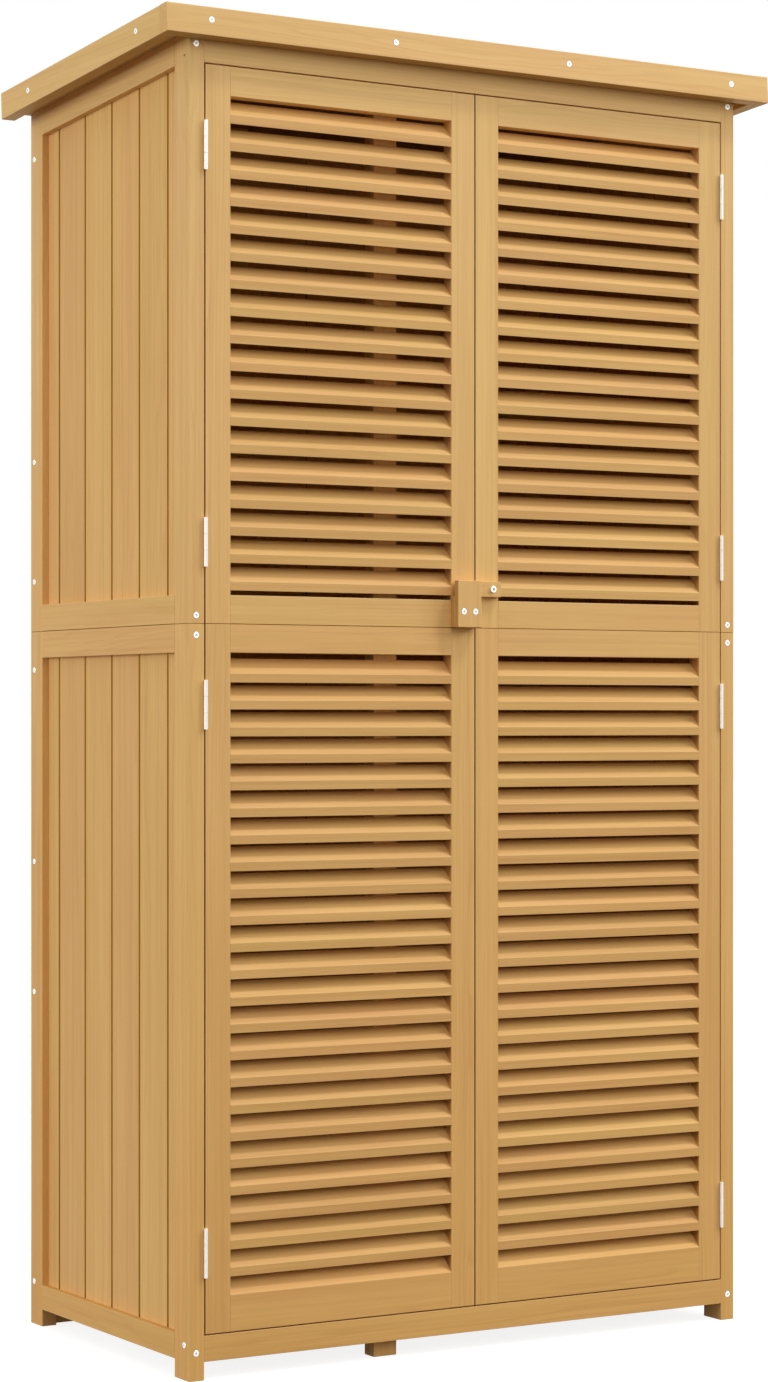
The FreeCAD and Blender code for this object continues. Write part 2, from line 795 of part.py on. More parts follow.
def make_door_leaves():
    """The upper and lower leaf of each door: stiles, rails and slats."""
    stile_x = (DOOR_LEFT, f"{OPENING_LEFT} + {OPENING_WIDTH}")
    y = (FRONT, "door_thickness")
    rail_x = (OPENING_LEFT, OPENING_WIDTH)
    bevel = [
        ("0", "0"),
        ("door_thickness", "0"),
        ("door_thickness", "door_bottom_rail_height + slat_rise"),
        ("0", "door_bottom_rail_height"),
    ]
    bottom_rail = prism(
        "door_bottom_rail", "YZ_Plane", bevel, OPENING_WIDTH, (OPENING_LEFT, FRONT, DOOR_BOTTOM)
    )
    lower_edge = "(seam_height - seam_rail_height)"
    upper_edge = f"({DOOR_TOP} - door_top_rail_height)"
    seam_z = ("seam_height", "seam_rail_height")
    leaves = {
        "lower": {
            "z": (DOOR_BOTTOM, f"seam_height - {DOOR_BOTTOM}"),
            "rails": [bottom_rail, box("door_lower_seam_rail", rail_x, y, (lower_edge, "seam_rail_height"))],
            "edge": lower_edge,
        },
        "upper": {
            "z": ("seam_height", f"{DOOR_TOP} - seam_height"),
            "rails": [
                box("door_upper_seam_rail", rail_x, y, seam_z),
                box("door_top_rail", rail_x, y, (upper_edge, "door_top_rail_height")),
            ],
            "edge": upper_edge,
        },
    }
    for level, leaf in leaves.items():
        start, pitch = f"{level}_louvre_start", f"{level}_louvre_pitch"
        first = f"({leaf['edge']} - {start})"
        rows = louvre_rows(level)
        housings = make_housings(f"{level}_housings", first, pitch, str(rows))
        stiles = [box(f"{level}_stile_{n}", (x, "stile_width"), y, leaf["z"]) for n, x in enumerate(stile_x)]
        stile_pair = compound(f"{level}_stile_pair", stiles)
        keep_pair(f"{level}_stiles", cut(f"{level}_stiles", stile_pair, housings))
        keep_pair(f"{level}_door_rails", compound(f"{level}_door_rails", leaf["rails"]))
        keep_pair(f"{level}_louvres", make_slats(f"{level}_slat", first, pitch, rows))


def louvre_rows(level):
    """The number of slats in a leaf, from the height of its opening."""
    if level == "lower":
        sill = SIZES["foot_height"] + SIZES["bottom_rail_height"] + SIZES["door_gap"]
        sill += SIZES["door_bottom_rail_height"]
        edge = SIZES["seam_height"] - SIZES["seam_rail_height"]
    else:
        sill = SIZES["seam_height"] + SIZES["seam_rail_height"]
        edge = SIZES["overall_height"] - SIZES["head_drop"] - SIZES["door_gap"]
        edge -= SIZES["door_top_rail_height"]
    first = edge - SIZES[f"{level}_louvre_start"]
    return int((first - sill) // SIZES[f"{level}_louvre_pitch"]) + 1


def make_battens():
    """The plates inside each door that join its two leaves across the seam."""
    z = ("seam_height - batten_length / 2", "batten_length")
    y = (f"{FRONT} + door_thickness", "batten_thickness")
    inset = "(stile_width - batten_width) / 2"
    starts = (f"{DOOR_LEFT} + {inset}", f"{OPENING_LEFT} + {OPENING_WIDTH} + {inset}")
    pieces = [box(f"batten_{n}", (x, "batten_width"), y, z) for n, x in enumerate(starts)]
    keep_pair("door_battens", compound("door_battens", pieces))


def hinge_heights():
    """The middle of each of a door's four hinges."""
    return (
        f"{DOOR_BOTTOM} + hinge_inset",
        "seam_height - hinge_inset",
        "seam_height + hinge_inset",
        f"{DOOR_TOP} - hinge_inset",
    )


def hinge_leaf(name, leaf_x, knuckles):
    """The plate of one hinge leaf, about the pin's axis, with its rolled knuckles."""
    x = (leaf_x, "leaf_thickness")
    parts = [box(f"{name}_plate", x, ("hinge_proud", "leaf_width"), ("-hinge_length / 2", "hinge_length"))]
    for number, (start, length) in enumerate(knuckles):
        parts.append(box(f"{name}_web_{number}", x, ("0", "hinge_proud"), (start, length)))
        knuckle = document.addObject("Part::Prism", f"{name}_knuckle_{number}")
        knuckle.Polygon = KNUCKLE_SIDES
        bind(knuckle, Circumradius="barrel_radius", Height=length)
        place(knuckle, "0", "0", start)
        parts.append(knuckle)
    return parts


def upright_round(name, radius, start, length):
    """A round on the hinge pin's axis."""
    piece = document.addObject("Part::Cylinder", name)
    bind(piece, Radius=radius, Height=length)
    place(piece, "0", "0", start)
    return piece


def make_hinges():
    """Four butt hinges to each door, their leaves in the gap beside the post and their barrels in front.
    The post's leaf carries the pin, and the door's leaf turns on it."""
    third = "hinge_length / 3"
    outer = f"({third} - knuckle_gap / 2)"
    post_knuckles = (("-hinge_length / 2", outer), (f"hinge_length / 2 - {outer}", outer))
    door_knuckles = ((f"knuckle_gap / 2 - {third} / 2", f"{third} - knuckle_gap"),)
    pin = upright_round("hinge_pin", "pin_radius", "-hinge_length / 2", "hinge_length")
    bore = upright_round("hinge_bore", "pin_radius + pin_clearance", "-hinge_length", "2 * hinge_length")
    door_parts = hinge_leaf("door_leaf", "door_gap / 2 - leaf_thickness", door_knuckles)
    leaves = {
        "post_leaf": fuse("post_leaf", [*hinge_leaf("post_leaf", "-door_gap / 2", post_knuckles), pin]),
        "door_leaf": cut("door_leaf", fuse("door_leaf_solid", door_parts), bore),
    }
    rows = {}
    for name, leaf in leaves.items():
        copies = [
            copy_at(f"{name}_{number}", leaf, HINGE_X, HINGE_Y, height)
            for number, height in enumerate(hinge_heights())
        ]
        rows[name] = compound(f"left_{name}_row", copies)
    keep_pair("door_hinge_leaves", rows["door_leaf"])
    post_row = rows["post_leaf"]
    post_rows = [post_row, mirrored("right_post_leaf_row", post_row)]
    keep("post_hinge_leaves", compound("post_hinge_leaves", post_rows))


def make_screw(name, length):
    """A countersunk wood screw with few faces, its head's centre at the origin, pointing down."""
    body = document.addObject("PartDesign::Body", name)
    head_sketch = add_sketch(body, "XY_Plane", regular_outline("screw_head_radius", HEAD_SIDES))
    head_sketch.setExpression("AttachmentOffset.Base.z", formula("screw_head_proud"))
    head = body.newObject("PartDesign::Pad", name + "_head")
    head.Profile = head_sketch
    head.Reversed = True
    bind(head, Length="screw_head_depth + screw_head_proud")
    document.recompute()
    faces = {f"Face{number}": face for number, face in enumerate(head.Shape.Faces, start=1)}
    taper = body.newObject("PartDesign::Draft", name + "_countersink")
    taper.Base = (head, [key for key, face in faces.items() if abs(face.normalAt(0, 0).z) < 0.5])
    taper.NeutralPlane = (head, [max(faces, key=lambda key: faces[key].CenterOfMass.z)])
    taper.Reversed = True
    bind(taper, Angle="screw_head_taper")
    shank_sketch = add_sketch(body, "XY_Plane", regular_outline("screw_shank_radius", SHANK_SIDES))
    shank = body.newObject("PartDesign::Pad", name + "_shank")
    shank.Profile = shank_sketch
    shank.Reversed = True
    bind(shank, Length=length)
    return body


def regular_outline(radius, sides):
    """The corners of a regular polygon about the sketch's origin."""
    turns = [360 * number / sides for number in range(sides)]
    return [(f"{radius} * cos({turn})", f"{radius} * sin({turn})") for turn in turns]


def revolved(name, outline):
    """A round piece: the outline turned about the Z axis."""
    body = document.addObject("PartDesign::Body", name)
    sketch = add_sketch(body, "XZ_Plane", outline)
    turned = body.newObject("PartDesign::Revolution", name + "_turned")
    turned.Profile = sketch
    turned.ReferenceAxis = (sketch, ["V_Axis"])
    turned.Angle = 360
    return body


HEAD_TO_FRONT = (Vector(1, 0, 0), 90)
HEAD_TO_LEFT = (Vector(0, 1, 0), -90)


def make_frame_screws():
    """Screws through the front posts into the side rails, and through the posts' sides into the
    front bottom rail and the back panel."""
    long_screw = make_screw("post_screw", "post_screw_length")
    short_screw = make_screw("side_screw", "side_screw_length")
    post_heights = (
        "foot_screw_height",
        "seam_height - seam_screw_drop",
        "seam_height + seam_screw_rise",
        "overall_height - top_screw_drop",
    )
    left = [
        copy_at(f"post_screw_{n}", long_screw, f"{LEFT} + post_screw_setback", FRONT, z, HEAD_TO_FRONT)
        for n, z in enumerate(post_heights)
    ]
    rear_heights = [f"{share} * seam_height" for share in LOWER_REAR_SCREWS]
    upper_height = f"({DECK_REAR_HEIGHT} - seam_height)"
    rear_heights += [f"seam_height + {share} * {upper_height}" for share in UPPER_REAR_SCREWS]
    side_places = [(f"{FRONT} + side_screw_setback", "side_screw_height")]
    side_places += [(f"{REAR} - rear_screw_inset", z) for z in rear_heights]
    left += [
        copy_at(f"side_screw_{number}", short_screw, LEFT, y, z, HEAD_TO_LEFT)
        for number, (y, z) in enumerate(side_places)
    ]
    row = compound("left_frame_screws", left)
    keep("frame_screws", compound("frame_screws", [row, mirrored("right_frame_screws", row)]))


def make_fascia_screws():
    """Screws through the fascia boards into the edges of the roof boards."""
    screw = make_screw("fascia_screw", "fascia_screw_length")
    pitch = "(overall_width - 2 * front_fascia_screw_inset) / (front_fascia_screw_count - 1)"
    front = []
    for number in range(SIZES["front_fascia_screw_count"]):
        spot = roof_spot(f"front_fascia_screw_inset + {number} * {pitch}", "0", "fascia_screw_height")
        piece = copy_at(f"front_fascia_screw_{number}", screw, *spot, HEAD_TO_FRONT)
        piece.setExpression("LinkPlacement.Rotation.Angle", formula(f"{HEAD_TO_FRONT[1]} - roof_slope"))
        front.append(piece)
    side_places = ("side_fascia_screw_inset", f"{ROOF_LENGTH} - side_fascia_screw_inset")
    side = [
        copy_at(f"side_fascia_screw_{n}", screw, *roof_spot("0", v, "fascia_screw_height"), HEAD_TO_LEFT)
        for n, v in enumerate(side_places)
    ]
    row = compound("left_fascia_screws", side)
    keep("fascia_screws", compound("fascia_screws", [*front, row, mirrored("right_fascia_screws", row)]))


def make_latch():
    """The turning bar on the right door, and the catch on the left door that it drops into."""
    catch_x = "(-door_gap / 2 - latch_clearance - catch_plate_width)"
    plate_y = f"{FRONT} - {CATCH_SEAT} - catch_plate_thickness"
    x = (catch_x, "catch_plate_width")
    plate_z = ("seam_height", "catch_plate_height")
    keep("catch_plate", box("catch_plate", x, (plate_y, "catch_plate_thickness"), plate_z))
    block_z = ("seam_height", "catch_block_height")
    keep("catch_block", box("catch_block", x, (f"{FRONT} - {CATCH_SEAT}", CATCH_SEAT), block_z))
    screw = make_screw("catch_screw", "catch_screw_length")
    screw_xs = (f"{catch_x} + catch_screw_inset", f"{catch_x} + catch_plate_width - catch_screw_inset")
    screws = [
        copy_at(f"catch_screw_{n}", screw, sx, plate_y, "seam_height + catch_screw_height", HEAD_TO_FRONT)
        for n, sx in enumerate(screw_xs)
    ]
    keep("catch_screws", compound("catch_screws", screws))

    bar_y = f"({FRONT} - latch_clearance - latch_bar_thickness)"
    bar = box(
        "latch_bar_blank",
        (f"{LATCH_X} + latch_bar_overhang - latch_bar_length", "latch_bar_length"),
        (bar_y, "latch_bar_thickness"),
        (f"{LATCH_Z} - latch_bar_height / 2", "latch_bar_height"),
    )
    hole = document.addObject("Part::Cylinder", "latch_bar_hole")
    bind(hole, Radius="screw_shank_radius + pin_clearance", Height="3 * latch_bar_thickness")
    hole.Placement.Rotation = FreeCAD.Rotation(Vector(1, 0, 0), -90)
    place(hole, LATCH_X, f"{bar_y} - latch_bar_thickness", LATCH_Z)
    keep("latch_bar", cut("latch_bar", bar, hole))

    shank = "(latch_bar_thickness + 2 * latch_clearance)"
    pivot = revolved(
        "latch_pivot_screw",
        [
            ("0", f"-({shank} + pivot_grip)"),
            ("screw_shank_radius", f"-({shank} + pivot_grip)"),
            ("screw_shank_radius", "0"),
            ("pivot_head_radius", "0"),
            ("pivot_head_radius", "pivot_head_height"),
            ("0", "pivot_head_height"),
        ],
    )
    pivot.Placement.Rotation = FreeCAD.Rotation(*HEAD_TO_FRONT)
    place(pivot, LATCH_X, f"{FRONT} - {shank}", LATCH_Z)
    keep("latch_pivot_screw", pivot)


def check():
    """Stop if any object failed or any sub-part has no valid solid."""
    for thing in document.Objects:
        if "Invalid" in thing.State or "Error" in thing.State:
            raise RuntimeError(f"{thing.Name} failed: {thing.State}")
    for label, piece in nodes.items():
        if piece.Shape.isNull() or not piece.Shape.isValid() or not piece.Shape.Solids:
            raise RuntimeError(f"{label} has no valid shape")


def main():
    make_sheet()
    make_posts()
    make_side_rails()
    make_front_rails()
    make_back_panel()
    make_floor()
    make_divider()
    make_shelves()
    make_door_stop()
    make_roof()
    make_door_leaves()
    make_battens()
    make_hinges()
    make_frame_screws()
    make_fascia_screws()
    make_latch()
    document.recompute()
    check()
    os.makedirs("parts", exist_ok=True)
    for label, piece in nodes.items():
        piece.Shape.exportStep(f"parts/{label}.step")


main()
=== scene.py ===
import json
import math
import random

import bmesh
import bpy
from mathutils import Matrix, Vector

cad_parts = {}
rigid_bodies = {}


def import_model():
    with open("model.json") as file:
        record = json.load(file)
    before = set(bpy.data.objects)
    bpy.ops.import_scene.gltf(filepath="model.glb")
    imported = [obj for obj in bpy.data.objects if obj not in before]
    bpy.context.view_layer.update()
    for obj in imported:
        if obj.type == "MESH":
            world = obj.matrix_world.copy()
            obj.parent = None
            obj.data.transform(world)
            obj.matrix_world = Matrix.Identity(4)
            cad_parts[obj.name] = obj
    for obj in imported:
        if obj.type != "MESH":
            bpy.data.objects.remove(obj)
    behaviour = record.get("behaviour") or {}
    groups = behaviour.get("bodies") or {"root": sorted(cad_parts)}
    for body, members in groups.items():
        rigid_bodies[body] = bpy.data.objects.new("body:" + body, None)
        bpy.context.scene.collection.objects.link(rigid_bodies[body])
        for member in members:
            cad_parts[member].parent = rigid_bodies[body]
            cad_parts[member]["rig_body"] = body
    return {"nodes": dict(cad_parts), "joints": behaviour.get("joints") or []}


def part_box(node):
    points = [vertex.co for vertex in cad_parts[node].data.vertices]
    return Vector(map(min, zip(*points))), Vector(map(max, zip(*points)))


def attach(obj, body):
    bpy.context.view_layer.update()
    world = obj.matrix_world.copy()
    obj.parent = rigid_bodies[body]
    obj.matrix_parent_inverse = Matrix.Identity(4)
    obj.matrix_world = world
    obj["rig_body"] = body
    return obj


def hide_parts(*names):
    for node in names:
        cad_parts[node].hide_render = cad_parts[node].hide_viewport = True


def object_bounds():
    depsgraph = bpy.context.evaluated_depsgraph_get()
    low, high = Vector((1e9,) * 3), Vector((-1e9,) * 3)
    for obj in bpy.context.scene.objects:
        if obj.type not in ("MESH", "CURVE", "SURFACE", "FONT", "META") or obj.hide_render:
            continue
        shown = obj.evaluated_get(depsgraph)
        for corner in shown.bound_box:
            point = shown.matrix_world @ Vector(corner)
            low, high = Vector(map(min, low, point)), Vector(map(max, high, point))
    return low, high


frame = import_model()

CAD_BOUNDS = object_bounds()
MM = 0.001

# The photograph's height and horizon in pixels, and its camera: place in metres, heading in degrees,
# lens and sensor in millimetres
PHOTO_HEIGHT = 1382
HORIZON_ROW = 720.31
CAMERA_PLACE = (-2.1363, -3.5823, 0.7708)
CAMERA_HEADING = 30.763
LENS = 84.745
SENSOR = 36

# The hinges' pin with its clearance, and the leaves' front edge behind it
PIN_RADIUS = 1.25 * MM
PIN_CLEARANCE = 0.05 * MM
BARREL_SETBACK = 2.5 * MM

# A point of a hinge is on its barrel in front of the pin by more than this, and on its plate behind it
BARREL_FRONT = 1.5 * MM
PLATE_BACK = 4 * MM

# The seam between the lower and the upper module, and how near counts as touching
SEAM_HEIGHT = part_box("left_front_lower_post")[1][2]
CLOSE = 0.01 * MM

# How much of a normal points along an axis: on a face square to it, and on a slanting face
SQUARE_ON = 0.9
SLANTING = 0.6

# The share of an edge's length that lies along the grain where the edge is a long one
LENGTHWISE = 0.99

# Degrees between two faces: at most so many where they are one flat face, and at least so many where
# their edge is rounded
COPLANAR = 0.5
LEAST_TURN = 20

# The slats' eased front arris, which is a crisp one in the photograph
SLAT_EASING = 2.6 * MM

# Steps in the rounding of long arrises and of the edges about the ends
ARRIS_STEPS = 2
END_STEPS = 1

# Faces that turn less than this, in degrees, are shaded as one: planed wood stays flat between its
# arrises, and turned metal looks round
FLAT = 10
ROUND = 30

# The parts of the finish attribute: dark joints together with painted shade, a worn arris and end grain
JOINT_AND_SHADE = 0
WORN = 1
END = 2

# How dark painted shade makes the door edges in their gaps, the undersides of the eaves and the
# sides of the catch, dark joints being 1
DOOR_GAP_SHADE = 0.5
EAVES_UNDERSIDE_SHADE = 0.7
CATCH_SIDE_SHADE = 0.4

# Painted shade towards the foot: the share of red, green and blue that is left at the foot, against the
# top
FOOT_SHADE_TINT = (0.935, 0.81, 0.64, 1)

# Colours as seen on a screen, 0 to 255: dark joints and painted shade, and a worn arris
JOINT_AND_SHADE_BROWN = (126, 85, 0)
WORN_HONEY = (240, 206, 150)

# How far a worn arris and end grain show
WORN_SHARE = 0.3
END_SHARE = 0.3

# The woods: light, middle and dark stain as seen on a screen, the strength of their growth rings, and
# how far painted shade darkens them towards the foot
WOODS = {
    "fir_frame": ((239, 199, 130), (232, 190, 121), (201, 150, 82), 1.0, 1.0),
    "fir_slats": ((226, 182, 112), (219, 173, 103), (188, 136, 68), 0.7, 0.4),
    "fir_boards": ((235, 189, 117), (226, 179, 107), (194, 141, 72), 1.0, 0.0),
}

# Growth rings: how many there are in a metre, and how many rings out of step they wander
RINGS_IN_METRE = 170.0
RING_WANDER = 5.0

# Each board's own place in the grain: its start along it, and the pith across and through it, in metres
GRAIN_STARTS = (0, 40)
PITH_ACROSS = (0.03, 0.09)
PITH_THROUGH = (0.02, 0.08)

# The dressing of wooden nodes. The first row counts whose word is in the node's name, and the last one
# takes the rest. Each row gives the slot, how far the long arrises and the edges about the ends are
# rounded, and the shortest edge that is a long arris, in metres.
DRESSING = (
    ("boards", "fir_boards", 0.4 * MM, 0, 0.05),
    ("louvres", "fir_slats", 0.35 * MM, 0, 0.2),
    ("back_stiles", "fir_frame", 0.6 * MM, 0.5 * MM, 0.012),
    ("stiles", "fir_frame", 0.5 * MM, 0.4 * MM, 0.5),
    ("rail", "fir_frame", 0.5 * MM, 0.15 * MM, 0.012),
    ("fascia", "fir_frame", 0.9 * MM, 0.3 * MM, 0.012),
    ("", "fir_frame", 0.6 * MM, 0.5 * MM, 0.012),
)

# Screws: how far the heads stand proud, the radius of their shanks, and the dark ring about each
# head, painted as the shadow in the gap around it
HEAD_HEIGHT = 0.34 * MM
SHANK_RADIUS = 2.0 * MM
SHADOW_RING_WIDTH = 0.3 * MM
SHADOW_RING_DROP = 0.01 * MM
SHADOW_RING_DEPTH = 0.05 * MM
PIVOT_HEAD_HEIGHT = 2.3 * MM
PIVOT_SHANK_RADIUS = 2.1 * MM

# A screw's shares of the radius of its head: the crown's radius, the rim's drop and the neck's, and the
# cross's reach, half width and depth. Then the share of the cross that its floor takes up, and the
# point's share of the shank's radius.
CROWN = 0.9
RIM_DROP = 0.08
NECK_DROP = 0.5
CROSS_REACH = 0.56
CROSS_HALF_WIDTH = 0.13
CROSS_DEPTH = 0.4
CROSS_FLOOR = 0.55
POINT = 0.2

# Round things are drawn with so many sides
HEAD_SIDES = 32
KNUCKLE_SIDES = 28

# The sides of a screw's solid have at most so many corners, and the top of its head has more
SIDE_CORNERS = 6

# The floor's half width in metres, its colour as a source of light, and its grey and glow to the eye
FLOOR_REACH = 30
FLOOR_COLOUR = (0.09, 0.06, 0.035, 1)
FLOOR_GREY = (0.3, 0.3, 0.3, 1)
FLOOR_GLOW = 0.86

# The world's light on the cabinet, and its white backdrop
WORLD_STRENGTH = 0.6
WORLD_COLOUR = (1, 0.96, 0.9, 1)
WHITE = (1, 1, 1, 1)

# The lamps: their distance and aim in metres, and each one's heading and height in degrees as seen from
# the cabinet, size in metres and power in watts
LAMP_REACH = 8
LAMP_AIM = (0, 0, 0.9)
LAMPS = {
    "key": (60, 26, 3, 205),
    "top": (45, 60, 1, 205),
    "front": (0, 24, 3, 98),
    "side": (-90, 8, 3, 215),
    "back": (165, 40, 3, 150),
}

# Direction of the grain of each wooden node
GRAIN_UP = (
    "left_front_lower_post", "left_front_upper_post", "left_rear_lower_post", "left_rear_upper_post",
    "right_front_lower_post", "right_front_upper_post", "right_rear_lower_post", "right_rear_upper_post",
    "left_lower_stiles", "left_upper_stiles", "right_lower_stiles", "right_upper_stiles",
    "left_lower_side_boards", "left_upper_side_boards", "right_lower_side_boards",
    "right_upper_side_boards", "lower_back_boards", "upper_back_boards", "back_stiles",
    "lower_divider_posts", "upper_divider_posts", "left_door_battens", "right_door_battens",
    "catch_plate", "catch_block",
)
GRAIN_ACROSS = (
    "front_bottom_rail", "front_top_rail", "back_rails", "front_fascia", "door_stop_battens",
    "floor_boards", "shelf_boards", "roof_boards",
    "left_lower_door_rails", "left_upper_door_rails", "right_lower_door_rails", "right_upper_door_rails",
    "left_lower_louvres", "left_upper_louvres", "right_lower_louvres", "right_upper_louvres",
    "latch_bar",
)
GRAIN_DEEP = (
    "left_lower_side_rails", "left_upper_side_rails", "right_lower_side_rails", "right_upper_side_rails",
    "left_fascia", "right_fascia", "floor_bearers", "shelf_bearers",
)


def srgb(red, green, blue):
    """A colour given as it is seen on a screen, 0 to 255, as the linear colour that a shader takes."""
    parts = [channel / 255 for channel in (red, green, blue)]
    return (*[c / 12.92 if c <= 0.04045 else ((c + 0.055) / 1.055) ** 2.4 for c in parts], 1)


class Graph:
    """A material's node tree, with short calls to add and link its nodes."""

    def __init__(self, name):
        self.material = bpy.data.materials.new(name)
        self.material.use_nodes = True
        self.tree = self.material.node_tree
        self.tree.nodes.clear()

    def add(self, kind, values=None, **settings):
        """Add a node with its settings, and set or link its inputs."""
        node = self.tree.nodes.new("ShaderNode" + kind)
        for name, value in settings.items():
            setattr(node, name, value)
        for key, value in (values or {}).items():
            if isinstance(value, bpy.types.NodeSocket):
                self.tree.links.new(value, node.inputs[key])
            else:
                node.inputs[key].default_value = value
        return node

    def math(self, operation, first, second=0.0):
        """One operation on a value, or on two."""
        return self.add("Math", {0: first, 1: second}, operation=operation).outputs[0]

    def mix(self, share, first, second, blend="MIX"):
        """A blend of two colours."""
        node = self.add("Mix", {"Factor": share}, data_type="RGBA", blend_type=blend)
        for key, value in ((6, first), (7, second)):
            if isinstance(value, bpy.types.NodeSocket):
                self.tree.links.new(value, node.inputs[key])
            else:
                node.inputs[key].default_value = value
        return node.outputs[2]

    def ramp(self, value, *stops):
        """A colour ramp through (position, colour) stops."""
        node = self.add("ValToRGB", {"Fac": value})
        elements = node.color_ramp.elements
        while len(elements) < len(stops):
            elements.new(0.5)
        for element, (position, colour) in zip(elements, stops):
            element.position = position
            element.color = colour
        return node.outputs["Color"]

    def stretch(self, value, low, high, new_low=0.0, new_high=1.0):
        """Map a value from one range to another."""
        values = {"Value": value, 1: low, 2: high, 3: new_low, 4: new_high}
        return self.add("MapRange", values).outputs[0]

    def scaled(self, vector, x, y, z):
        """A vector with its parts multiplied."""
        node = self.add("VectorMath", {0: vector, 1: (x, y, z)}, operation="MULTIPLY")
        return node.outputs[0]

    def noise(self, vector, scale, detail=2.0, roughness=0.5):
        """A noise value around 0.5."""
        values = {"Vector": vector, "Scale": scale, "Detail": detail, "Roughness": roughness}
        return self.add("TexNoise", values).outputs["Fac"]

    def finish(self, shader):
        """Link the shader to the output."""
        output = self.add("OutputMaterial")
        self.tree.links.new(shader, output.inputs["Surface"])
        return self.material


def wood_material(name, light, middle, dark, ring_strength, foot_shading):
    """Planed softwood with a honey stain: growth rings, fine fibres, slow blotches and toned boards.
    Its last argument is how far a painted shade deepens the colour towards the foot. The attribute
    grain holds each board's own coordinates, first along the grain. The attribute finish says, in its
    parts, how far a face is dark, as in joints and as painted shade on door edges, eaves undersides
    and catch sides, a worn arris and end grain. Joints and painted shade are metallic, which leaves
    them no white gloss."""
    g = Graph(name)
    light, middle, dark = srgb(*light), srgb(*middle), srgb(*dark)
    grain = g.add("Attribute", attribute_name="grain").outputs["Vector"]
    tone = g.add("Attribute", attribute_name="tone").outputs["Fac"]
    finish = g.add("SeparateXYZ", {0: g.add("Attribute", attribute_name="finish").outputs["Vector"]})
    wander = g.noise(g.scaled(grain, 1.5, 8, 8), 1.0, 3.0)
    parts = g.add("SeparateXYZ", {0: grain})
    bend = g.math("MULTIPLY", g.math("SUBTRACT", wander, 0.5), 0.06)
    across = g.math("ADD", parts.outputs[1], bend)
    through = g.math("ADD", parts.outputs[2], bend)
    squares = g.math("ADD", g.math("POWER", across, 2.0), g.math("POWER", through, 2.0))
    radius = g.math("SQRT", squares)
    uneven = g.noise(g.scaled(grain, 0.4, 45, 45), 1.0, 2.0)
    count = g.math("MULTIPLY", radius, RINGS_IN_METRE)
    turns = g.math("FRACT", g.math("ADD", count, g.math("MULTIPLY", uneven, RING_WANDER)))
    late_wood = g.ramp(
        turns,
        (0.0, (0.0, 0.0, 0.0, 1)),
        (0.55, (0.2, 0.2, 0.2, 1)),
        (0.85, (1, 1, 1, 1)),
        (1.0, (0.0, 0.0, 0.0, 1)),
    )
    streaks = g.noise(g.scaled(grain, 1.6, 150, 150), 1.0, 3.0, 0.55)
    fibres = g.noise(g.scaled(grain, 14, 900, 900), 1.0, 2.0, 0.6)
    flecks = g.noise(g.scaled(grain, 70, 1600, 1600), 1.0, 1.0)
    blotches = g.noise(g.scaled(grain, 3.0, 22, 22), 1.0, 2.0, 0.5)
    base = g.mix(g.stretch(blotches, 0.3, 0.7), middle, light)
    strength = g.stretch(uneven, 0.35, 0.7, 0.03 * ring_strength, 0.3 * ring_strength)
    ringed = g.mix(g.math("MULTIPLY", late_wood, strength), base, dark)
    streaked = g.mix(g.stretch(streaks, 0.42, 0.75, 0.0, 0.3), ringed, dark)
    fibred = g.mix(g.stretch(fibres, 0.45, 0.8, 0.0, 0.16), streaked, dark)
    flecked = g.mix(g.stretch(flecks, 0.68, 0.8, 0.0, 0.25), fibred, dark)
    drift = g.stretch(g.noise(g.scaled(grain, 2.2, 30, 30), 1.0, 2.0), 0.3, 0.7, -0.004, 0.004)
    second_tone = g.math("FRACT", g.math("MULTIPLY", tone, 7.3))
    hue = g.math("ADD", g.stretch(second_tone, 0.0, 1.0, 0.497, 0.503), drift)
    shade = g.stretch(tone, 0.0, 1.0, 0.97, 1.03)
    toned = g.add("HueSaturation", {"Hue": hue, "Value": shade, "Color": flecked}).outputs["Color"]
    level = g.add("SeparateXYZ", {0: g.add("TexCoord").outputs["Object"]}).outputs[2]
    # Painted shade: the colour darkens and deepens towards the foot
    foot_shaded = g.mix(g.stretch(level, 0.0, CAD_BOUNDS[1][2], foot_shading, 0.0), toned, FOOT_SHADE_TINT, "MULTIPLY")
    worn = g.mix(g.math("MULTIPLY", finish.outputs[WORN], WORN_SHARE), foot_shaded, srgb(*WORN_HONEY))
    ended = g.mix(g.math("MULTIPLY", finish.outputs[END], END_SHARE), worn, dark)
    # Dark joints, and painted shade on the door edges, the eaves undersides and the catch sides
    joint_and_shade = finish.outputs[JOINT_AND_SHADE]
    joint_and_shade_coloured = g.mix(joint_and_shade, ended, srgb(*JOINT_AND_SHADE_BROWN))
    height = g.math("ADD", g.math("MULTIPLY", fibres, 0.6), g.math("MULTIPLY", late_wood, 0.4))
    bump = g.add("Bump", {"Strength": 0.12, "Distance": 0.0004, "Height": height}).outputs["Normal"]
    roughness = g.stretch(fibres, 0.3, 0.8, 0.58, 0.74)
    values = {"Base Color": joint_and_shade_coloured, "Roughness": roughness, "Metallic": joint_and_shade, "Normal": bump}
    shader = g.add("BsdfPrincipled", {**values, "Specular IOR Level": 0.5})
    return g.finish(shader.outputs[0])


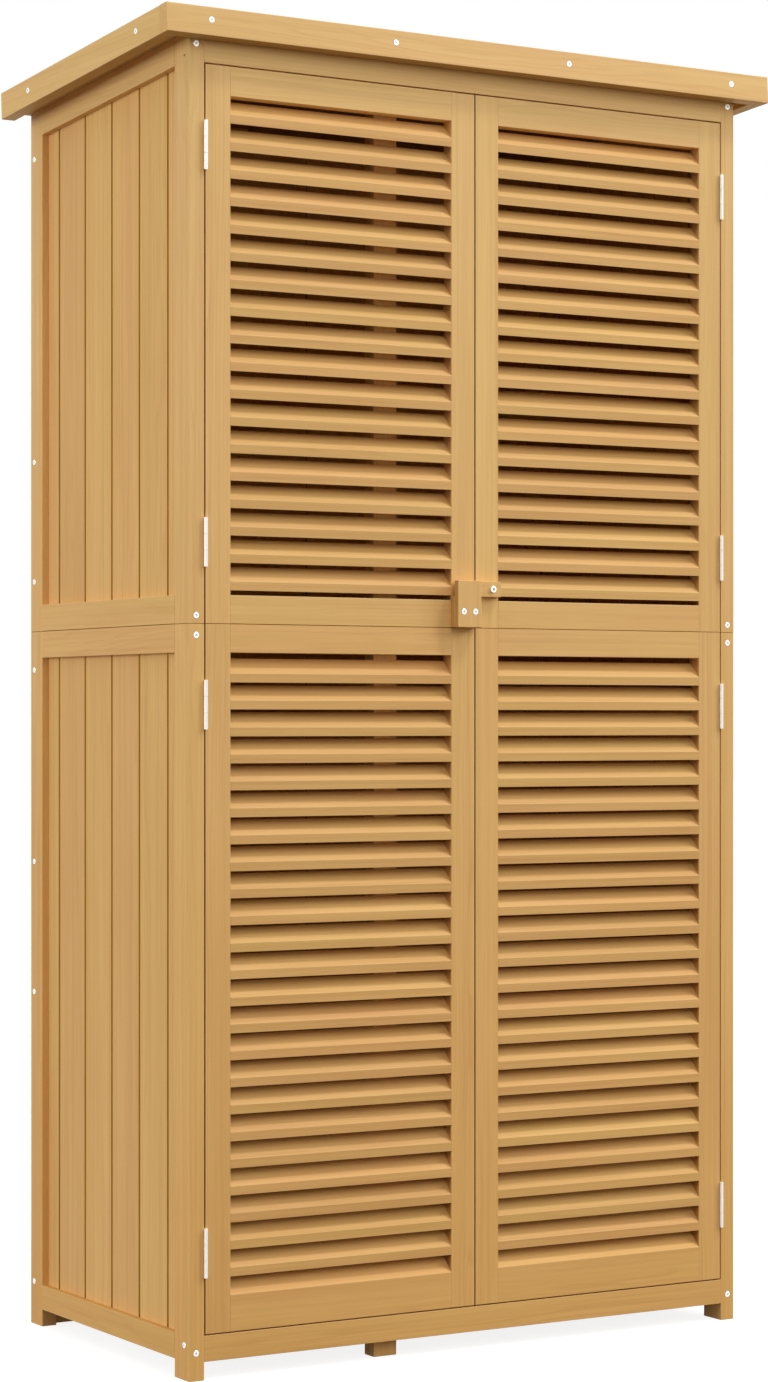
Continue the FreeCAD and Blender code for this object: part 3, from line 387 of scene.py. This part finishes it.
def zinc_material():
    """Bright zinc-plated steel with a faint mottle and fine scuffs. The attribute recess is 1 where
    shade is painted dark brown: on the ring about a screw head, as the shadow in the gap around it,
    and in the cross of its drive, as the shade in it. The attribute polish is 1 on screws, which are
    brighter than hinges."""
    g = Graph("zinc_steel")
    place = g.add("TexCoord").outputs["Object"]
    recess = g.add("Attribute", attribute_name="recess").outputs["Fac"]
    mottle = g.noise(place, 900.0, 3.0)
    scuffs = g.noise(g.scaled(place, 400, 400, 3000), 1.0, 2.0)
    bright = g.mix(g.stretch(mottle, 0.35, 0.65), srgb(246, 246, 247), srgb(255, 255, 255))
    # Painted shade: dark brown on the ring about a screw head and in the cross of its drive
    colour = g.mix(recess, bright, srgb(74, 52, 34))
    polish = g.add("Attribute", attribute_name="polish").outputs["Fac"]
    unshaded = g.math("SUBTRACT", 1.0, recess)
    metallic = g.math("MULTIPLY", unshaded, g.stretch(polish, 0.0, 1.0, 0.3, 0.85))
    roughness = g.stretch(scuffs, 0.3, 0.7, 0.32, 0.46)
    shader = g.add("BsdfPrincipled", {"Base Color": colour, "Metallic": metallic, "Roughness": roughness})
    return g.finish(shader.outputs[0])


def felt_material():
    """Mineral roofing felt: dark bitumen with a crust of slate grains."""
    g = Graph("roof_felt")
    place = g.add("TexCoord").outputs["Object"]
    grains = g.add("TexVoronoi", {"Vector": place, "Scale": 900.0})
    drift = g.noise(place, 6.0, 3.0)
    speckle = g.mix(grains.outputs["Color"], srgb(46, 47, 49), srgb(92, 93, 96))
    colour = g.mix(g.stretch(drift, 0.3, 0.7, 0.0, 0.4), speckle, srgb(58, 60, 64))
    bump = g.add("Bump", {"Strength": 0.6, "Distance": 0.0006, "Height": grains.outputs["Distance"]})
    values = {"Base Color": colour, "Roughness": 0.92, "Normal": bump.outputs["Normal"]}
    return g.finish(g.add("BsdfPrincipled", values).outputs[0])


def islands(mesh):
    """The separate solids of a bmesh, each a list of its vertices."""
    left = set(mesh.verts)
    found = []
    for start in list(mesh.verts):
        if start not in left:
            continue
        left.discard(start)
        stack, island = [start], []
        while stack:
            vertex = stack.pop()
            island.append(vertex)
            for edge in vertex.link_edges:
                other = edge.other_vert(vertex)
                if other in left:
                    left.discard(other)
                    stack.append(other)
        found.append(island)
    return found


def solid_copy(node):
    """The node's solids as a bmesh of whole flat faces."""
    mesh = bmesh.new()
    mesh.from_mesh(frame["nodes"][node].data)
    bmesh.ops.remove_doubles(mesh, verts=mesh.verts, dist=1e-6)
    bmesh.ops.dissolve_limit(
        mesh, angle_limit=math.radians(COPLANAR), verts=mesh.verts, edges=mesh.edges, delimit=set()
    )
    return mesh


def write_grain(mesh, axis, seed):
    """Give each solid its own grain coordinates and tone, as attributes of its vertices."""
    grain_layer = mesh.verts.layers.float_vector.new("grain")
    tone_layer = mesh.verts.layers.float.new("tone")
    rng = random.Random(seed)
    for island in sorted(islands(mesh), key=lambda verts: min(tuple(v.co) for v in verts)):
        low = [min(v.co[i] for v in island) for i in range(3)]
        high = [max(v.co[i] for v in island) for i in range(3)]
        centre = [(a + b) / 2 for a, b in zip(low, high)]
        start = rng.uniform(*GRAIN_STARTS)
        pith = (rng.choice((-1, 1)) * rng.uniform(*PITH_ACROSS), rng.uniform(*PITH_THROUGH))
        tone = rng.random()
        order = [axis, *[i for i in range(3) if i != axis]]
        for vertex in island:
            along, across, through = [vertex.co[i] - centre[i] for i in order]
            vertex[grain_layer] = (along + start, across + pith[0], through + pith[1])
            vertex[tone_layer] = tone


def mark(faces, layer, part, share=1):
    """Set one part of the finish attribute to a share, on all corners of the faces."""
    for face in faces:
        for loop in face.loops:
            value = list(loop[layer])
            value[part] = share
            loop[layer] = value


def outward_edges(mesh, axis, shortest):
    """The solids' outward edges: the long ones along the grain, and those about their two ends."""
    reach = {}
    for island in islands(mesh):
        places = [vertex.co[axis] for vertex in island]
        for vertex in island:
            reach[vertex] = (min(places), max(places))
    along, ends = [], []
    for edge in mesh.edges:
        if not edge.is_manifold or not edge.is_convex:
            continue
        if edge.calc_face_angle() < math.radians(LEAST_TURN):
            continue
        low, high = reach[edge.verts[0]]
        places = [vertex.co[axis] for vertex in edge.verts]
        length = edge.calc_length()
        if abs(places[0] - places[1]) > LENGTHWISE * length:
            if length > shortest:
                along.append(edge)
        elif max(places) - low < CLOSE or high - min(places) < CLOSE:
            ends.append(edge)
    return along, ends


def round_edges(mesh, edges, width, steps, layer, part):
    """Round the edges in steps. The new faces are marked with the part of the finish attribute, or as
    dark joints where they lie on the seam between the two modules."""
    if not edges or not width:
        return
    result = bmesh.ops.bevel(
        mesh, geom=edges, offset=width, segments=steps, affect="EDGES", profile=0.5, clamp_overlap=True
    )
    seam = {face for face in result["faces"] if abs(face.calc_center_median().z - SEAM_HEIGHT) < MM}
    mark([face for face in result["faces"] if face in seam], layer, JOINT_AND_SHADE)
    mark([face for face in result["faces"] if face not in seam], layer, part)


def new_piece(name, mesh, body, material, smooth_angle):
    """Turn a bmesh into a piece that rides on a body, shaded smooth where its faces turn less than an
    angle in degrees."""
    bmesh.ops.recalc_face_normals(mesh, faces=mesh.faces)
    data = bpy.data.meshes.new(name)
    mesh.to_mesh(data)
    mesh.free()
    data.polygons.foreach_set("use_smooth", [True] * len(data.polygons))
    data.set_sharp_from_angle(angle=math.radians(smooth_angle))
    piece = bpy.data.objects.new(name, data)
    bpy.context.scene.collection.objects.link(piece)
    piece.data.materials.append(material)
    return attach(piece, body)


def node_body(node):
    """The body that a node rides on."""
    return frame["nodes"][node]["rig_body"]


def draw_up_noses(mesh):
    """Draw the slats' eased front arris up to a crisp corner, level with the top of their front face."""
    front = min(vertex.co.y for vertex in mesh.verts)
    pairs = []
    for edge in mesh.edges:
        near, far = sorted(edge.verts, key=lambda vertex: vertex.co.y)
        if near.co.y - front < CLOSE < far.co.y - front < SLAT_EASING and far.co.z > near.co.z:
            pairs.append((near, far))
    for near, far in pairs:
        near.co += Vector((0, 0, SLAT_EASING))
        far.co = near.co
    bmesh.ops.remove_doubles(mesh, verts=mesh.verts, dist=CLOSE)


def mark_faces(mesh, node, axis, layer):
    """Mark a wooden node's V-joints and end grain, and paint shade on the door edges in their gaps, on
    the undersides of the eaves and on the sides of the catch.
    """
    faces = list(mesh.faces)
    slanting = [f for f in faces if abs(f.normal.x) > SLANTING and abs(f.normal.y) > SLANTING]
    mark(slanting, layer, JOINT_AND_SHADE)
    mark([f for f in faces if abs(f.normal[axis]) > SQUARE_ON], layer, END)
    # The stiles' outer side faces, the door edges, are painted darker as the shade in the gaps
    if node.endswith("_stiles"):
        sides = (min(v.co.x for v in mesh.verts), max(v.co.x for v in mesh.verts))
        edges = [f for f in faces if min(abs(f.calc_center_median().x - x) for x in sides) < CLOSE]
        mark(edges, layer, JOINT_AND_SHADE, DOOR_GAP_SHADE)
    # The undersides of the fascias and roof boards are painted darker as the shade under the eaves
    if "fascia" in node or node == "roof_boards":
        mark([f for f in faces if f.normal.z < -SQUARE_ON], layer, JOINT_AND_SHADE, EAVES_UNDERSIDE_SHADE)
    # The sides of the catch are painted darker as shade
    if "catch" in node:
        mark([f for f in faces if abs(f.normal.x) > SQUARE_ON], layer, JOINT_AND_SHADE, CATCH_SIDE_SHADE)


def dress_wood(node, axis, material, width, end_width, shortest):
    """Stand in for a wooden node with the same solids, their arrises rounded and their grain laid."""
    mesh = solid_copy(node)
    if "louvres" in node:
        draw_up_noses(mesh)
    finish = mesh.loops.layers.float_vector.new("finish")
    mesh.normal_update()
    mark_faces(mesh, node, axis, finish)
    arris = JOINT_AND_SHADE if "boards" in node else WORN
    round_edges(mesh, outward_edges(mesh, axis, shortest)[0], width, ARRIS_STEPS, finish, arris)
    round_edges(mesh, outward_edges(mesh, axis, shortest)[1], end_width, END_STEPS, finish, WORN)
    write_grain(mesh, axis, node)
    piece = new_piece(node + "_finish", mesh, node_body(node), material, FLAT)
    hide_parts(node)
    return piece


def ring(mesh, centre_height, radius, sides):
    """A circle of vertices about the Z axis."""
    turns = [2 * math.pi * i / sides for i in range(sides)]
    return [mesh.verts.new((radius * math.cos(t), radius * math.sin(t), centre_height)) for t in turns]


def bridge(mesh, lower, upper):
    """A band of faces between two rings of as many vertices."""
    count = len(lower)
    faces = []
    for i in range(count):
        j = (i + 1) % count
        faces.append(mesh.faces.new((lower[i], lower[j], upper[j], upper[i])))
    return faces


def screw_mesh(radius, height, shank, length, shadow_ring):
    """A cross-recess screw about the Z axis, the top of its head at the origin. Its head stands proud
    by the height, in a thin dark ring painted as the shadow in the gap around it."""
    mesh = bmesh.new()
    recess = mesh.verts.layers.float.new("recess")
    sides = HEAD_SIDES
    top = ring(mesh, 0, CROWN * radius, sides)
    profile = [(-RIM_DROP * radius, radius, 0), (-height, radius, 0)]
    # The ring about the head is painted dark as the shadow in the gap around it
    if shadow_ring:
        ledge = -height - SHADOW_RING_DROP
        rim = radius + shadow_ring
        profile += [(ledge, radius, 1), (ledge, rim, 1), (ledge - SHADOW_RING_DEPTH, rim, 1)]
    profile += [(-height - NECK_DROP * radius, shank, 0), (2 * shank - length, shank, 0)]
    profile.append((-length, POINT * shank, 0))
    above = top
    for level, width, dark in profile:
        below = ring(mesh, level, width, sides)
        for vertex in below:
            vertex[recess] = dark
        bridge(mesh, below, above)
        above = below
    mesh.faces.new(list(reversed(above)))
    arm = CROSS_REACH * radius
    half = CROSS_HALF_WIDTH * radius
    depth = CROSS_DEPTH * radius
    cross = []
    for quarter in range(4):
        turn = Matrix.Rotation(quarter * math.pi / 2, 3, "Z")
        for x, y in ((arm, 0), (arm, half), (half, half), (half, arm)):
            cross.append(mesh.verts.new(turn @ Vector((x, y, 0))))
    for quarter in range(4):
        start = quarter * sides // 4
        arc = [top[(start + i) % sides] for i in range(sides // 4 + 1)]
        inner = [cross[(quarter * 4 + i) % 16] for i in range(5)]
        mesh.faces.new([*arc, *reversed(inner)])
    # The floor of the cross is painted dark as the shade in it, which fades up its walls
    floor = []
    for vertex in cross:
        deep = mesh.verts.new((vertex.co.x * CROSS_FLOOR, vertex.co.y * CROSS_FLOOR, -depth))
        deep[recess] = 1
        floor.append(deep)
    bridge(mesh, floor, cross)
    mesh.faces.new(floor)
    polish = mesh.verts.layers.float.new("polish")
    for vertex in mesh.verts:
        vertex[polish] = 1
    return mesh


def head_face(island):
    """The top of a screw's head: the largest face that isn't a side of its shank."""
    faces = {face for vertex in island for face in vertex.link_faces}
    others = [face for face in faces if len(face.verts) > SIDE_CORNERS]
    return max(others, key=lambda face: face.calc_area())


def dress_screws(node, material, height, shank, shadow_ring):
    """Stand in for a node of screws with round heads that have a cross recess."""
    source = solid_copy(node)
    total = bmesh.new()
    rng = random.Random(node)
    for island in sorted(islands(source), key=lambda verts: min(tuple(v.co) for v in verts)):
        head = head_face(island)
        normal = head.normal.copy()
        centre = sum((v.co for v in head.verts), Vector()) / len(head.verts)
        radius = (head.verts[0].co - centre).length
        length = max((centre - v.co).dot(normal) for v in island)
        screw = screw_mesh(radius - shadow_ring, height, shank, length, shadow_ring)
        turn = normal.to_track_quat("Z", "Y").to_matrix().to_4x4()
        spin = Matrix.Rotation(rng.uniform(0, math.pi), 4, "Z")
        screw.transform(Matrix.Translation(centre) @ turn @ spin)
        data = bpy.data.meshes.new("screw")
        screw.to_mesh(data)
        screw.free()
        total.from_mesh(data)
        bpy.data.meshes.remove(data)
    source.free()
    piece = new_piece(node + "_finish", total, node_body(node), material, ROUND)
    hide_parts(node)
    return piece


def knuckle(mesh, x, y, low, high, radius, bore):
    """An upright round barrel with eased ends, hollow where it has a bore."""
    ease = 0.25 * MM
    sides = KNUCKLE_SIDES
    heights = ((low, radius - ease), (low + ease, radius), (high - ease, radius), (high, radius - ease))
    rings = [ring(mesh, z, r, sides) for z, r in heights]
    if bore:
        rings = [ring(mesh, low, bore, sides), *rings, ring(mesh, high, bore, sides)]
    for lower, upper in zip(rings, rings[1:]):
        bridge(mesh, lower, upper)
    if bore:
        bridge(mesh, rings[-1], rings[0])
    else:
        mesh.faces.new(list(reversed(rings[0])))
        mesh.faces.new(rings[-1])
    for vertices in rings:
        for vertex in vertices:
            vertex.co += Vector((x, y, 0))


def slab(mesh, low, high):
    """A plain plate between two corners."""
    size = [b - a for a, b in zip(low, high)]
    middle = Vector([(a + b) / 2 for a, b in zip(low, high)])
    shape = Matrix.Translation(middle) @ Matrix.Diagonal((*size, 1))
    bmesh.ops.create_cube(mesh, size=1, matrix=shape)


def dress_hinges(node, material):
    """Stand in for a node of hinge leaves: the same plates, with round knuckles about the pin."""
    source = solid_copy(node)
    mesh = bmesh.new()
    holds_pin = node.startswith("post")
    bore = 0 if holds_pin else PIN_RADIUS + PIN_CLEARANCE
    for island in islands(source):
        points = [v.co for v in island]
        side = "left" if points[0].x < 0 else "right"
        x, y, _ = next(j["pos_m"] for j in frame["joints"] if j["name"] == side + "_door_hinge")
        barrel = [p for p in points if p.y < y - BARREL_FRONT]
        plate = [p for p in points if p.y > y + PLATE_BACK]
        radius = max(abs(p.x - x) for p in points)
        levels = sorted({round(p.z, 5) for p in barrel})
        low = [min(p[i] for p in plate) for i in range(3)]
        high = [max(p[i] for p in plate) for i in range(3)]
        low[1] = y + BARREL_SETBACK
        slab(mesh, low, high)
        for start, stop in zip(levels[::2], levels[1::2]):
            knuckle(mesh, x, y, start, stop, radius, bore)
            slab(mesh, (low[0], y + radius / 2, start), (high[0], low[1], stop))
        if holds_pin:
            knuckle(mesh, x, y, levels[0] + MM, levels[-1] - MM, PIN_RADIUS, 0)
    source.free()
    piece = new_piece(node + "_finish", mesh, node_body(node), material, ROUND)
    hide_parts(node)
    return piece


def dress_cabinet():
    """Dress every wooden node, and give the other nodes their materials."""
    woods = {name: wood_material(name, *row) for name, row in WOODS.items()}
    for axis, nodes in ((0, GRAIN_ACROSS), (1, GRAIN_DEEP), (2, GRAIN_UP)):
        for node in nodes:
            slot, width, end_width, shortest = next(row[1:] for row in DRESSING if row[0] in node)
            dress_wood(node, axis, woods[slot], width, end_width, shortest)
    zinc = zinc_material()
    for node in ("frame_screws", "fascia_screws", "catch_screws"):
        dress_screws(node, zinc, HEAD_HEIGHT, SHANK_RADIUS, SHADOW_RING_WIDTH)
    dress_screws("latch_pivot_screw", zinc, PIVOT_HEAD_HEIGHT, PIVOT_SHANK_RADIUS, 0)
    for node in ("left_door_hinge_leaves", "right_door_hinge_leaves", "post_hinge_leaves"):
        dress_hinges(node, zinc)
    felt = frame["nodes"]["roof_felt"]
    felt.data.materials.clear()
    felt.data.materials.append(felt_material())


def add_lamp(name, place, target, size, power):
    """A soft square lamp."""
    data = bpy.data.lights.new(name, "AREA")
    data.size = size
    data.energy = power
    lamp = bpy.data.objects.new(name, data)
    lamp.location = place
    lamp.rotation_euler = (Vector(target) - Vector(place)).to_track_quat("-Z", "Y").to_euler()
    bpy.context.scene.collection.objects.link(lamp)


def seen_ray(tree):
    """1 for camera, glossy and transmitted rays."""
    path = tree.nodes.new("ShaderNodeLightPath")
    total = path.outputs["Is Camera Ray"]
    for name in ("Is Glossy Ray", "Is Transmission Ray"):
        step = tree.nodes.new("ShaderNodeMath")
        step.operation = "MAXIMUM"
        tree.links.new(total, step.inputs[0])
        tree.links.new(path.outputs[name], step.inputs[1])
        total = step.outputs[0]
    return total


def make_world():
    """White to the eye, and a plain soft light, a little warm."""
    world = bpy.data.worlds.new("studio")
    bpy.context.scene.world = world
    world.use_nodes = True
    tree = world.node_tree
    tree.nodes.clear()
    light = tree.nodes.new("ShaderNodeBackground")
    light.inputs["Strength"].default_value = WORLD_STRENGTH
    light.inputs["Color"].default_value = WORLD_COLOUR
    backdrop = tree.nodes.new("ShaderNodeBackground")
    backdrop.inputs["Color"].default_value = WHITE
    mixer = tree.nodes.new("ShaderNodeMixShader")
    tree.links.new(seen_ray(tree), mixer.inputs[0])
    tree.links.new(light.outputs[0], mixer.inputs[1])
    tree.links.new(backdrop.outputs[0], mixer.inputs[2])
    output = tree.nodes.new("ShaderNodeOutputWorld")
    tree.links.new(mixer.outputs[0], output.inputs["Surface"])


def make_floor():
    """A plain pale floor, white to the eye where no shadow falls, that throws a weak and warm light."""
    mesh = bmesh.new()
    bmesh.ops.create_grid(mesh, x_segments=1, y_segments=1, size=FLOOR_REACH)
    data = bpy.data.meshes.new("floor")
    mesh.to_mesh(data)
    mesh.free()
    floor = bpy.data.objects.new("floor", data)
    bpy.context.scene.collection.objects.link(floor)
    g = Graph("floor")
    plain = g.add("BsdfDiffuse", {"Color": FLOOR_COLOUR}).outputs[0]
    seen = g.add("BsdfDiffuse", {"Color": FLOOR_GREY}).outputs[0]
    glow = g.add("Emission", {"Color": WHITE, "Strength": FLOOR_GLOW}).outputs[0]
    lit = g.add("AddShader", {0: seen, 1: glow}).outputs[0]
    mixer = g.add("MixShader", {0: seen_ray(g.tree), 1: plain, 2: lit})
    data.materials.append(g.finish(mixer.outputs[0]))


def make_camera():
    """The photograph's view: level, from the front left."""
    data = bpy.data.cameras.new("camera")
    data.lens = LENS
    data.sensor_width = SENSOR
    data.sensor_fit = "AUTO"
    data.shift_y = (HORIZON_ROW - PHOTO_HEIGHT / 2) / PHOTO_HEIGHT
    data.clip_end = 100
    camera = bpy.data.objects.new("camera", data)
    camera.location = CAMERA_PLACE
    camera.rotation_euler = (math.radians(90), 0, -math.radians(CAMERA_HEADING))
    bpy.context.scene.collection.objects.link(camera)
    bpy.context.scene.camera = camera


def make_lights():
    """Soft studio lamps about the cabinet."""
    aim = Vector(LAMP_AIM)
    for name, (heading, height, size, power) in LAMPS.items():
        swing = Matrix.Rotation(math.radians(heading), 3, "Z")
        lift = Matrix.Rotation(-math.radians(height), 3, "X")
        add_lamp(name, aim + swing @ lift @ Vector((0, -LAMP_REACH, 0)), aim, size, power)


make_camera()
make_world()
make_lights()
make_floor()
dress_cabinet()
bpy.context.scene.view_settings.view_transform = "Standard"
